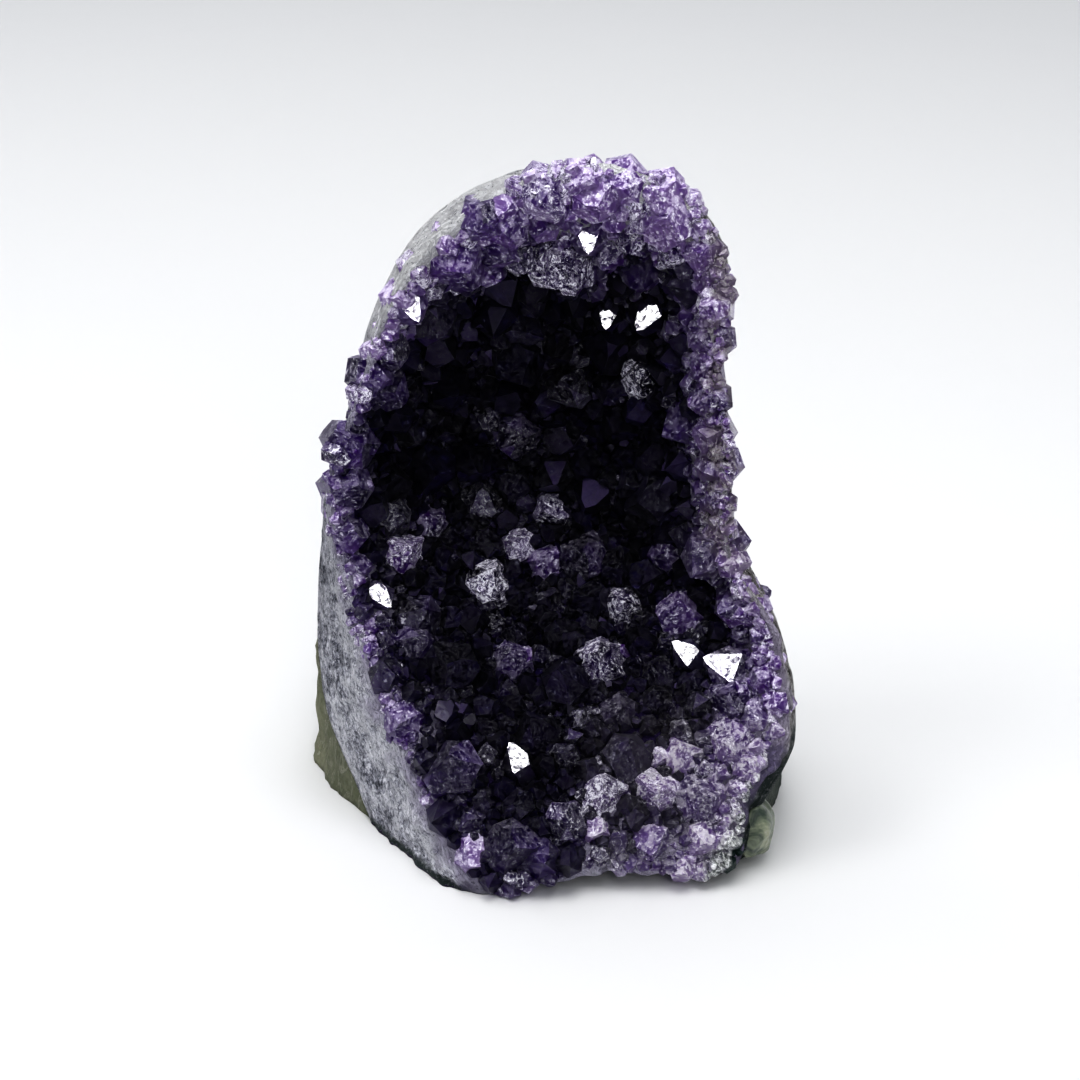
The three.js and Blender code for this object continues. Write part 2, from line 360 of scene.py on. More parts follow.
def basalt():
    """Basalt: green-grey mottled by slow noise, olive where it is weathered low on the left, with fine dark
    and pale grains and pale scratches."""
    finish = Finish("basalt")
    where = finish.place()
    slow = finish.noise(where, 34, 5)
    fine = finish.noise(where, 420, 4, 0.7)
    grains = finish.cells(where, 900, "Distance")
    olive = finish.ramp(slow, [(0.3, (0.07, 0.08, 0.05)), (0.5, (0.13, 0.14, 0.085)),
                               (0.68, (0.23, 0.23, 0.15))])
    dark = finish.ramp(slow, [(0.3, (0.012, 0.022, 0.022)), (0.6, (0.045, 0.06, 0.052)),
                              (0.75, (0.1, 0.11, 0.085))])
    aside = finish.part(where, "X")
    deep = finish.part(where, "Y")
    high = finish.part(where, "Z")
    edge = finish.noise(where, 55, 6, 0.65)
    weathered = (((-0.036 - aside - deep * 0.35 + (edge - 0.5) * 0.05) * 200.0).held()
                 * ((0.06 - high + (edge - 0.5) * 0.09) * 90.0).held())
    scraped = finish.stretched(where, (1.0, 1.0, 0.3), (0.3, 0.5, 0.0))
    scratches = finish.noise(scraped, 260, 4, 0.6, 1.0).line(30.0)
    stone = finish.blend(weathered, dark, olive)
    specks = fine.above(0.4, 1.2) * (weathered * 0.8 + 0.2)
    mottled = finish.blend(specks, stone, (0.34, 0.34, 0.26, 1))
    colour = finish.blend(scratches * (weathered * 0.35 + 0.04), mottled, (0.5, 0.5, 0.42, 1))
    height = slow * 0.5 + fine * 0.5 + grains * 0.25 + edge * 1.2 - scratches * 0.25
    skin_shader = finish.node("ShaderNodeBsdfPrincipled", {}, {
        "Base Color": colour, "Roughness": fine * 0.3 + 0.6, "Normal": finish.bump(height, 0.8, 0.0012)})
    return finish.end(skin_shader)


rind.data.materials.append(basalt())
sawn(rind)
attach(rind, "root")
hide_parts("basalt_rind")

# ---------------------------------------------------------------------------------------------------------
# Quartz band. The first quartz that lined the rock: pale, sugary and lilac-grey, streaked along the rim
# where the piece is broken across it. The crystals grow from its inner face, which is stained violet.

ROWS_BED = 150
ROWS_STRIP = 44
ROWS_BEHIND = 6
# The growth coordinates: along the rim, and out over the bed, then over the broken strip.
RIM_LENGTH = 420.0
BED_WIDTH = 60
STRIP_WIDTH = 12
bed_u, bed_t = np.meshgrid(np.linspace(0, 1, ROWS_BED, endpoint=False), turns, indexing="ij")
strip_u, strip_t = np.meshgrid(np.linspace(0, 1, ROWS_STRIP), turns, indexing="ij")
behind_u, behind_t = np.meshgrid(np.linspace(1, 0, ROWS_BEHIND), turns, indexing="ij")
# The bed that the crystals grow on, the broken strip round it, and the hidden back, which closes the piece.
bed = bowl(CRYSTAL_RIM, bed_u, bed_t)
inner_rim = along(CRYSTAL_RIM, strip_t)
strip = inner_rim + (along(BAND_RIM, strip_t) - inner_rim) * strip_u[..., None]
behind = bowl(BAND_RIM, behind_u * 0.97, behind_t, -(BAND_THICKNESS + 1) * (1 - behind_u**4) - 1.0)
# Relief in millimetres: coarse and fine lumps, and on the strip fibres that run along the rim.
bed_rough = 0.9 * grain(bed, 6, 11) + 0.5 * grain(bed, 2.2, 12)
fibres = np.stack([strip_t * RIM_LENGTH * 0.22, strip_u * STRIP_WIDTH, strip_u * 0], -1)
strip_rough = (0.9 * grain(strip, 6, 13) + 0.55 * grain(strip, 2.2, 14) + 0.45 * grain(fibres, 1.3, 15)
               + 0.25 * grain(fibres, 0.6, 16))
bed = bed + facing(bed) * (bed_rough * (1 - bed_u**8))[..., None]
strip = strip + facing(strip) * (strip_rough * (1 - 0.8 * strip_u**4) + 0.5)[..., None]
band_grid = np.concatenate([bed, strip, behind])
growth_out = np.concatenate([bed_u * BED_WIDTH, BED_WIDTH + strip_u * STRIP_WIDTH,
                             BED_WIDTH + STRIP_WIDTH + (1 - behind_u) * BED_WIDTH])
growth = np.stack([np.broadcast_to(turns * RIM_LENGTH, band_grid.shape[:2]), growth_out], -1)
band = skin("quartz_band_stone", band_grid + shift, growth)


WHITE_FROM = 0.1     # above this height, in metres, the band is white
BROWN_FROM = 0.02    # and this far to the right it is brownish


def sugar_quartz():
    """Sugary quartz: lilac-grey low on the left, white at the top left and brownish down the right, with
    streaks that run along the rim, dark pinholes and a violet stain on the bed. A dark foot and seam are
    partly dark basalt and partly painted shade."""
    finish = Finish("sugar quartz")
    where = finish.place()
    growth_at = finish.attribute("growth", out="Vector")
    streaks = finish.noise(finish.stretched(growth_at, (0.3, 1.0, 1.0)), 2.8, 7, 0.8, 0.6)
    drift = finish.noise(where, 120, 3)
    high = finish.part(where, "Z")
    aside = finish.part(where, "X")
    fine = finish.noise(where, 700, 3, 0.7)
    pits = finish.noise(where, 1500, 2, 0.8)
    across = finish.part(growth_at, "Y")
    stain = across.below(54.0, 0.12)
    blush = ((63.0 - across + (drift - 0.5) * 12.0) * 0.3).held() * 0.6
    threads = finish.noise(finish.stretched(growth_at, (0.22, 1.0, 1.0)), 1.7, 4, 0.6, 1.2).line(16.0)
    clumps = finish.noise(where, 330, 4, 0.7)
    # 0 to 1 from dark to pale, paler from the outside of the strip inwards.
    level = (0.57 + (streaks - 0.5) * 1.2 + (clumps - 0.5) * 0.8 + (drift - 0.5) * 0.5 - threads * 0.08
             + ((66.0 - across) * 0.016 + 0.03).held() - 0.03)
    lilac = finish.ramp(level, [(0.34, (0.045, 0.05, 0.07)), (0.43, (0.26, 0.265, 0.32)),
                                (0.53, (0.54, 0.54, 0.62)), (0.62, (0.86, 0.86, 0.92))])
    white = finish.ramp(level, [(0.28, (0.12, 0.12, 0.12)), (0.37, (0.48, 0.48, 0.5)),
                                (0.43, (0.9, 0.89, 0.94)), (0.5, (0.99, 0.99, 1.0))])
    brown = finish.ramp(level, [(0.34, (0.05, 0.045, 0.04)), (0.48, (0.3, 0.28, 0.27)),
                                (0.62, (0.7, 0.68, 0.68))])
    left = finish.blend(high.above(WHITE_FROM, 60.0), lilac, white)
    lining = finish.blend(aside.above(BROWN_FROM, 80.0), left, brown)
    # The dark teal seam low on the right, beside the knob: partly dark basalt in the gap, partly painted
    # shade in it.
    seam_and_shade = aside.above(0.0385, 250.0) * ((0.03 - high + (drift - 0.5) * 0.02) * 200.0).held()
    # A dark teal strip along the foot, low on the left: partly the basalt's dark edge, partly painted shade
    # where the piece meets the floor.
    foot_and_shade = ((0.0022 + (fine - 0.5) * 0.003 - high) * 900.0).held() * aside.below(-0.012, 200.0)
    edged_and_shaded = finish.blend((seam_and_shade + foot_and_shade).held(), lining, (0.022, 0.04, 0.038, 1))
    blushed = finish.blend(blush * (1.0 - (high - WHITE_FROM) * 60.0).held(), edged_and_shaded, (0.3, 0.24, 0.42, 1))
    speckled = finish.blend(fine.above(0.55, 2.0), blushed, (0.75, 0.74, 0.8, 1))
    pitted = finish.blend(pits.above(0.6, 6.0), speckled, (0.05, 0.05, 0.08, 1))
    colour = finish.blend(stain, pitted, (0.02, 0.008, 0.06, 1))
    height = streaks * 0.9 + fine * 0.6 + pits * 0.3 - threads * 0.5
    skin_shader = finish.node("ShaderNodeBsdfPrincipled", {}, {
        "Base Color": colour, "Roughness": 0.62 - fine * 0.3, "Normal": finish.bump(height, 1.0, 0.0008)})
    return finish.end(skin_shader)


band.data.materials.append(sugar_quartz())
sawn(band)
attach(band, "root")
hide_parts("quartz_band")

# ---------------------------------------------------------------------------------------------------------
# Amethyst crystals. Six-sided quartz points grown together into one solid: near black in the hollow, violet
# and then lavender towards the rim, some of them frosted by a crust of tiny faces. They are see-through.

chance = np.random.default_rng(20)
QUARTZ_INDEX = 1.544
RHOMB_TILT = math.radians(51.8)   # a point's face leans this far from the crystal's axis
REACH = 45.0                      # from the middle of the hollow to its rim, on the whole
MAIN_CRYSTALS = 520
FINE_CRYSTALS = 1200
# The camera looks down at a point in the piece, from a distance. Shining faces mirror the small lamp.
LOOK_AT = np.array([-3.0, 0.0, 65.0])
ELEVATION = math.radians(27)
DISTANCE = 430.0
VIEWER = LOOK_AT + DISTANCE * np.array([0, -math.cos(ELEVATION), math.sin(ELEVATION)])
LAMP = np.array([60.0, -620.0, 900.0])

# How far in from the rim the crystals stay pale, as a share of the hollow, at each station of the rim.
PALE_WIDTH = np.array([0.06, 0.05, 0.07, 0.08, 0.08, 0.08, 0.08, 0.09, 0.16, 0.28,
                       0.32, 0.32, 0.28, 0.16, 0.12, 0.14, 0.22, 0.28, 0.32, 0.24])
# How far past the rim small crystals spread over the quartz, as a share of the hollow, at each station.
SPREAD = np.array([0.01, 0.01, 0.01, 0.01, 0.01, 0.02, 0.04, 0.03, 0.0, -0.02,
                   0.01, 0.03, 0.06, 0.08, 0.08, 0.02, -0.03, -0.02, 0.0, 0.01])
# How unevenly that edge runs, as a share of the hollow, at each station.
RAGGED = np.array([0.01, 0.03, 0.05, 0.06, 0.06, 0.05, 0.03, 0.03, 0.05, 0.05,
                   0.03, 0.02, 0.02, 0.02, 0.02, 0.02, 0.02, 0.01, 0.01, 0.01])
# How large the crystals at the rim are, as a multiple of those in the hollow, at each station.
RIM_SIZE = np.array([1.0, 0.9, 0.6, 0.6, 0.6, 0.8, 1.0, 1.1, 1.15, 1.25,
                     1.4, 1.3, 1.0, 0.6, 0.6, 0.6, 0.65, 0.75, 0.8, 0.8])

# Crystals that stand out from their neighbours: across and up in front view and radius, in millimetres,
# then paleness from near black to lavender, frost, and whether a face mirrors the lamp to the viewer.
NOTABLE = [
    (23, 133, 6.0, 0.8, 0.4, False),
    (8, 138, 5.0, 0.8, 0.4, False),
    (14, 141, 4.8, 0.85, 0.3, False),
    (6, 144, 4.6, 0.85, 0.3, False),
    (-2, 139, 5.2, 0.65, 0.75, False),
    (-10, 132, 4.6, 0.6, 0.2, False),
    (-15, 135, 4.2, 0.45, 0.1, False),
    (-20, 124, 6.0, 0.5, 0.1, False),
    (1, 122, 7.4, 0.5, 1.0, False),
    (-23, 131, 3.6, 0.9, 0.5, False),
    (-28, 125, 3.6, 0.95, 0.9, False),
    (-32, 119, 3.6, 0.9, 0.4, False),
    (-30, 116, 3.6, 0.45, 0.0, True),
    (27, 118, 5.0, 0.2, 0.0, False),
    (19, 120, 4.6, 0.25, 0.0, False),
    (31, 128, 3.8, 0.7, 0.3, False),
    (32, 110, 4.0, 0.6, 0.3, False),
    (32, 103, 3.6, 0.6, 0.3, False),
    (19, 93, 5.4, 0.05, 1.0, False),
    (-23, 92, 4.8, 0.05, 0.0, False),
    (-39, 101, 4.4, 0.4, 0.2, False),
    (-36, 97, 5.4, 0.3, 0.1, False),
    (-34, 106, 4.4, 0.3, 0.7, False),
    (7, 129, 3.8, 0.4, 0.0, True),
    (12, 108, 3.4, 0.1, 0.0, True),
    (21, 109, 4.2, 0.1, 0.1, True),
    (30, 39, 3.3, 0.15, 0.0, True),
    (38, 38, 4.6, 0.4, 0.2, True),
    (-7, 22, 3.3, 0.1, 0.2, True),
    (-38, 51, 3.2, 0.3, 0.0, True),
    (10, 18, 5.4, 0.5, 1.0, False),
    (15, 23, 5.4, 0.2, 0.0, False),
    (22, 18, 6.0, 0.9, 0.8, False),
    (28, 23, 4.6, 0.9, 0.4, False),
    (23, 23, 3.8, 0.95, 0.8, False),
    (38, 27, 6.0, 0.75, 0.4, False),
    (31, 17, 6.0, 0.6, 0.3, False),
    (31, 10, 6.4, 0.9, 0.6, False),
    (20, 10, 5.0, 0.6, 0.1, False),
    (9, 13, 4.0, 0.85, 0.5, False),
    (2, 14, 4.6, 0.3, 0.7, False),
    (-9, 10, 7.0, 0.3, 0.0, False),
    (-3, 8, 4.6, 0.25, 0.0, False),
    (-17, 8, 4.9, 0.9, 0.3, False),
    (-30, 42, 6.0, 0.35, 0.0, False),
    (-9, 37, 5.0, 0.4, 0.5, False),
    (11, 37, 6.0, 0.35, 0.8, False),
    (-21, 21, 6.4, 0.3, 0.0, False),
    (38, 34, 5.2, 0.45, 0.0, False),
    (45, 38, 4.2, 0.6, 0.2, False),
    (43, 31, 4.8, 0.7, 0.3, False),
    (-32, 29, 4.0, 0.5, 0.2, False),
    (14, 29, 4.6, 0.3, 0.0, False),
    (-33, 57, 5.4, 0.7, 1.0, False),
    (-27, 63, 4.6, 0.5, 0.6, False),
    (-8, 57, 5.4, 0.55, 0.85, False),
    (-2, 53, 5.0, 0.55, 0.1, False),
    (7, 55, 5.4, 0.3, 0.0, False),
    (-1, 63, 4.4, 0.3, 0.75, False),
    (-15, 50, 5.0, 0.2, 0.95, False),
    (34, 60, 6.0, 0.4, 0.0, False),
    (25, 56, 4.2, 0.45, 0.2, False),
    (28, 46, 6.0, 0.55, 0.1, False),
    (34, 88, 4.0, 0.7, 0.2, False),
    (33, 96, 3.6, 0.6, 0.2, False),
    (35, 74, 3.4, 0.6, 0.3, False),
    (35, 81, 4.2, 0.6, 0.3, False),
    (28, 86, 5.4, 0.3, 0.0, False),
    (-44, 85, 5.2, 0.36, 0.1, False),
    (-44, 76, 5.2, 0.4, 0.2, False),
    (-47, 71, 3.4, 0.7, 0.3, False),
    (-8, 79, 5.4, 0.3, 0.6, False),
    (7, 73, 4.2, 0.1, 0.0, False),
    (-36, 73, 5.0, 0.1, 0.0, False),
    (-30, 46, 6.0, 0.2, 0.4, False),
    (15, 46, 5.0, 0.2, 0.85, False),
    (40, 50, 5.0, 0.5, 0.2, False),
]


def unit(way):
    """Vectors brought to length one."""
    return way / np.linalg.norm(way, axis=-1, keepdims=True)


STEP = 0.004                  # a small step over the bed, for its slopes
RIM_LEAN = [0, -1.6, 0.5]     # how far crystals at the rim lean forwards and up
QUARTZ_SLOPE = [0, 1.5, 0]    # past the rim the quartz falls back this far for each millimetre out


def hollow_frame(u, t):
    """Places on the bed and the directions that crystals grow in: square to it, and leaning forwards over
    the last fifth of the way out to the rim."""
    here = bowl(CRYSTAL_RIM, u, t)
    out = bowl(CRYSTAL_RIM, u + STEP, t) - here
    side = bowl(CRYSTAL_RIM, u, t + STEP / 2) - here
    n = np.cross(out, side)
    n = unit(np.where(n[..., 1:2] > 0, -n, n))
    here = here + (np.maximum(u - 1, 0) * REACH)[..., None] * QUARTZ_SLOPE
    return here, unit(n + np.clip(u * 5 - 4, 0, 1)[..., None] * RIM_LEAN)


def uneven(t, seed):
    """Value noise from -1 to 1 along the rim, about a crystal or two to a swing."""
    return grain(np.stack([t * 60, t * 0, t * 0], -1), 1.0, seed)


def paleness(u, t):
    """0 in the hollow to 1 at the rim, over the pale width there, and less where that width is small."""
    width = along(PALE_WIDTH[:, None], t)[..., 0] * (1 + 0.7 * uneven(t, 41))
    return np.clip((u - 1 + width) / width, 0, 1) ** 0.8 * np.minimum(width / 0.13, 1)


def at_places(across, up):
    """The share out and the turn of places given across and up: the nearest of a fine grid over the bed."""
    share, turn = np.meshgrid(np.linspace(0.02, 1, 120), np.arange(360) / 360, indexing="ij")
    grid = bowl(CRYSTAL_RIM, share, turn).reshape(-1, 3)
    near = np.argmin((grid[:, 0] - across[:, None]) ** 2 + (grid[:, 2] - up[:, None]) ** 2, axis=1)
    return share.ravel()[near], turn.ravel()[near]


def scatter(count, tries, radius_low, radius_high, crowding, spread, taken):
    """Dart throwing: keeps a random place on the bed when no crystal kept before stands too close to it.
    Small radii are commoner than large ones, and low down more crystals are pale."""
    t = chance.random(tries)
    edge = along(SPREAD[:, None], t)[..., 0] + along(RAGGED[:, None], t)[..., 0] * (uneven(t, 42) - 0.2)
    u = np.sqrt(chance.random(tries)) * (1 + spread * edge)
    radius = radius_low + (radius_high - radius_low) * chance.random(tries) ** 1.6
    # Sizes change to the rim's own over the last quarter of the way out.
    rim_size = along(RIM_SIZE[:, None], t)[..., 0] * chance.uniform(0.6, 1.5, tries)
    radius = radius * (1 - np.clip(u * 4 - 3, 0, 1) * (1 - rim_size))
    u = u - 0.4 * radius / REACH
    here, normal = hollow_frame(u, t)
    pale = paleness(u, t)
    low = np.clip((75 - here[:, 2]) / 75, 0, 1)
    # Shining crystals keep more room, so that nothing stands before the face that shines.
    places, radii = taken["place"], taken["radius"] * (1 + 0.35 * taken["shines"])
    kept = []
    for k in range(tries):
        apart = np.linalg.norm(places - here[k], axis=1)
        if np.any(apart < crowding * (radii + radius[k])):
            continue
        kept.append(k)
        places = np.vstack([places, here[k]])
        radii = np.append(radii, radius[k])
        if len(kept) == count:
            break
    kept = np.array(kept)
    n = len(kept)
    pale = pale[kept] + chance.uniform(-0.1, 0.1, n) + 0.3 * low[kept] * chance.random(n) ** 2
    frost = chance.random(n) * (0.68 + 0.5 * np.clip(pale, 0, 1))
    return {"place": here[kept], "normal": normal[kept], "radius": radius[kept],
            "pale": np.clip(pale, 0, 1), "frost": frost, "shines": np.zeros(n)}


def grown(sites, tilt, tallness):
    """Gives each site an axis near the bed's normal, a turn, a height, and faces at uneven distances, and
    sinks pale ones into the bed by a share of their radius. Every other face of a point is smaller."""
    n = len(sites["radius"])
    sites["axis"] = unit(sites["normal"] + chance.normal(0, tilt, (n, 3)) + [0, -0.12, 0.1])
    sites["turn"] = chance.random(n) * np.pi
    sites["height"] = sites["radius"] * (1.2 + tallness * chance.random(n) + 0.4 * sites["shines"])
    sites["place"] = sites["place"] - sites["normal"] * (sites["radius"] * 0.6 * sites["pale"])[:, None]
    sites["out"] = 1 + chance.uniform(-0.16, 0.16, (n, 6))
    rhomb = 1 + chance.uniform(-0.1, 0.12, (n, 6))
    rhomb[:, 1::2] += chance.uniform(0.0, 0.3, (n, 3))
    sites["point"] = rhomb


def sides(axis):
    """Two directions square to each axis and to each other."""
    helper = np.where(np.abs(axis[:, 2:3]) < 0.9, [[0, 0, 1.0]], [[1.0, 0, 0]])
    side = unit(np.cross(helper, axis))
    return side, np.cross(axis, side)


# How far out the faces of such a point stand: the mirror, which is widest, then on round it.
MIRROR_POINT = np.array([0.84, 1.0, 1.02, 1.15, 1.02, 1.0])


def mirrored(sites, pick):
    """Turns the picked crystals so that the first face of the point is square to the line half way between
    the viewer and the lamp, and brings that face nearer, which widens it."""
    place = sites["place"][pick]
    half = unit(unit(VIEWER - place) + unit(LAMP - place))
    normal = sites["normal"][pick]
    aside = unit(normal - (normal * half).sum(1, keepdims=True) * half)
    axis = math.cos(RHOMB_TILT) * half + math.sin(RHOMB_TILT) * aside
    flat = unit(half - math.cos(RHOMB_TILT) * axis)
    side, front = sides(axis)
    sites["axis"][pick] = axis
    sites["turn"][pick] = np.arctan2((flat * front).sum(1), (flat * side).sum(1))
    sites["point"][pick] = MIRROR_POINT


FALL = 1.27   # how far a point's face drops for each step out: the tangent of its tilt


def riders(sites, most):
    """Small crystals that sit on the points of larger ones: each at a share down one face of the point,
    most of them parallel to their host."""
    number = (most * (0.25 + 0.35 * sites["pale"]) * chance.random(len(sites["radius"])) + 0.3
              + 3.0 * (sites["frost"] > 0.8)).astype(int)
    number[(sites["radius"] < 2.8) | (sites["shines"] > 0)] = 0
    host = np.repeat(np.arange(len(number)), number)
    n = len(host)
    axis, radius = sites["axis"][host], sites["radius"][host]
    side, front = sides(axis)
    angle = sites["turn"][host] + chance.integers(0, 6, n) * np.pi / 3 + chance.normal(0, 0.3, n)
    way = np.cos(angle)[:, None] * side + np.sin(angle)[:, None] * front
    down = chance.uniform(0.35, 1.05, n)
    small = radius * chance.uniform(0.16, 0.42, n)
    tip = sites["place"][host] + axis * (sites["height"][host] - FALL * radius * down)[:, None]
    loose = (chance.random(n) < 0.4)[:, None]
    lighter = chance.uniform(-0.05, 0.25, n)
    frostier = chance.uniform(-0.2, 0.2, n)
    drift = chance.normal(0, 0.04, (n, 3))
    lean = loose * (0.5 * way + chance.normal(0, 0.3, (n, 3)))
    return {
        "place": tip + way * (radius * down * 0.86)[:, None] - axis * small[:, None] * 0.9,
        "normal": axis, "radius": small,
        "pale": np.clip(sites["pale"][host] + lighter, 0, 1),
        "frost": np.clip(sites["frost"][host] + frostier, 0, 1),
        "axis": unit(axis + drift + lean),
        "turn": sites["turn"][host] + loose[:, 0] * chance.random(n) * np.pi,
        "height": small * (1.3 + 0.9 * chance.random(n)),
        "out": 1 + chance.uniform(-0.14, 0.14, (n, 6)),
        "point": 1 + chance.uniform(-0.1, 0.25, (n, 6)),
        "shines": np.zeros(n),
    }


def crystals(sites, name):
    """Each crystal is the space inside thirteen planes: six prism faces round its axis, six faces of its
    point leaning in from them, and a foot. Its corners are where three planes meet with none cutting them
    off, and each face runs through its corners in order of angle."""
    axis, radius, height = sites["axis"], sites["radius"], sites["height"]
    side, front = sides(axis)
    angle = sites["turn"][:, None] + np.arange(6) * np.pi / 3
    round_way = np.cos(angle)[..., None] * side[:, None] + np.sin(angle)[..., None] * front[:, None]
    tip_way = math.sin(RHOMB_TILT) * round_way + math.cos(RHOMB_TILT) * axis[:, None]
    normals = np.concatenate([round_way, tip_way, -axis[:, None]], 1)
    reach = np.concatenate([radius[:, None] * sites["out"],
                            height[:, None] * math.cos(RHOMB_TILT) * sites["point"],
                            (radius * 0.7 + 1.2)[:, None]], 1)
    planes = normals.shape[1]
    mirror = round_way.shape[1]   # the first face of the point comes after the prism's
    i, j, k = np.array([(a, b, c) for a in range(planes) for b in range(a + 1, planes)
                        for c in range(b + 1, planes)]).T
    three = np.stack([normals[:, i], normals[:, j], normals[:, k]], -2)
    meet = np.abs(np.linalg.det(three)) > 1e-4
    three[~meet] = np.eye(3)
    distances = np.stack([reach[:, i], reach[:, j], reach[:, k]], -1)
    corner = np.linalg.solve(three, distances[..., None])[..., 0]
    inside = meet & (np.einsum("ncx,npx->ncp", corner, normals) <= reach[:, None] + 1e-7).all(-1)
    which, triple = np.nonzero(inside)
    points = corner[which, triple]
    face = np.concatenate([which * planes + m[triple] for m in (i, j, k)])
    vertex = np.tile(np.arange(len(points)), 3)
    flat_normals = normals.reshape(-1, 3)[face]
    total = np.zeros((len(radius) * planes, 3))
    share = np.zeros(len(radius) * planes)
    np.add.at(total, face, points[vertex])
    np.add.at(share, face, 1)
    spoke = points[vertex] - (total / np.maximum(share, 1)[:, None])[face]
    first = np.cross(flat_normals, np.roll(flat_normals, 1, 1) + [0.31, 0.17, 0.73])
    second = np.cross(flat_normals, first)
    order = np.lexsort((np.arctan2((spoke * second).sum(1), (spoke * first).sum(1)), face))
    face, vertex = face[order], vertex[order]
    starts = np.flatnonzero(np.r_[True, face[1:] != face[:-1]])
    mesh = bpy.data.meshes.new(name)
    mesh.from_pydata((points + sites["place"][which] + shift) * MM, [],
                     [loop.tolist() for loop in np.split(vertex, starts[1:])])
    mesh.update()
    owner = face[starts] // planes
    up = normals.reshape(-1, 3)[face[starts], 2]
    # Each face's tone: a random part, and a painted violet glow that makes faces turned down lighter.
    tone = 0.65 * chance.random(len(owner)) + 0.5 * np.clip(-up, 0, 1)
    shining = (sites["shines"][owner] > 0) & (face[starts] % planes == mirror)
    gloss = np.where(shining, 1.0, 0.02 + 0.98 * chance.random(len(owner)) ** 7)
    for key, values in (("frost", sites["frost"][owner]), ("pale", sites["pale"][owner]),
                        ("tone", tone), ("up", up), ("gloss", gloss)):
        mesh.attributes.new(key, "FLOAT", "FACE").data.foreach_set("value", values.astype(np.float32))
    return placed(name, mesh)


TOUCHING = {"radii": 1.75, "gap": 1.5}   # crystals closer than this, in radii and millimetres, may touch


def joined(sites, name):
    """Unites all the crystals. Those that touch go into different batches, and the batches are united one
    after another, so that every union is between two clean solids."""
    place, radius = sites["place"], sites["radius"]
    apart = np.linalg.norm(place[:, None] - place[None], axis=-1)
    near = apart < TOUCHING["radii"] * (radius[:, None] + radius[None]) + TOUCHING["gap"]
    batch = np.zeros(len(radius), int)
    for k in range(len(radius)):
        used = set(batch[:k][near[k, :k]])
        batch[k] = next(b for b in range(len(radius)) if b not in used)
    result = None
    for b in range(batch.max() + 1):
        piece = crystals({key: value[batch == b] for key, value in sites.items()}, name)
        if result is None:
            result = piece
            continue
        union = result.modifiers.new("grown together", "BOOLEAN")
        union.object, union.operation, union.solver = piece, "UNION", "MANIFOLD"
        finished(result)
        bpy.data.objects.remove(piece)
    result.name = name
    return result


WELL_IN_FRONT = -90   # further forwards than any crystal reaches


def held_in_front(piece):
    """Keeps what lies in front of the wall, so that no foot comes out through the rock: what is inside a
    solid whose back runs under the bed, then under the quartz out to its rim, then straight on outwards."""
    rim, lip = along(CRYSTAL_RIM, turns), along(BAND_RIM, turns)
    outwards = (lip - [MIDDLE[0], 0, MIDDLE[1]]) * [0.6, 0, 0.6]
    far = lip + outwards + [0, 9, 0]
    front = far * [1, 0, 1] + [0, WELL_IN_FRONT, 0]
    centre = np.broadcast_to([MIDDLE[0], WELL_IN_FRONT, MIDDLE[1]], front.shape)
    under_u, under_t = np.meshgrid(np.linspace(0.98, 0, 40), turns, indexing="ij")
    under = bowl(CRYSTAL_RIM, under_u, under_t, -8 + 4 * under_u**6)
    grid = np.concatenate([[centre, front, far, lip + [0, 0.8, 0], rim + [0, 4, 0]], under])
    mould = skin("mould", grid + shift)
    mould.data.materials.append(piece.data.materials[0])
    inside = piece.modifiers.new("in front of the wall", "BOOLEAN")
    inside.object, inside.operation, inside.solver = mould, "INTERSECT", "MANIFOLD"
    finished(piece)
    bpy.data.objects.remove(mould)


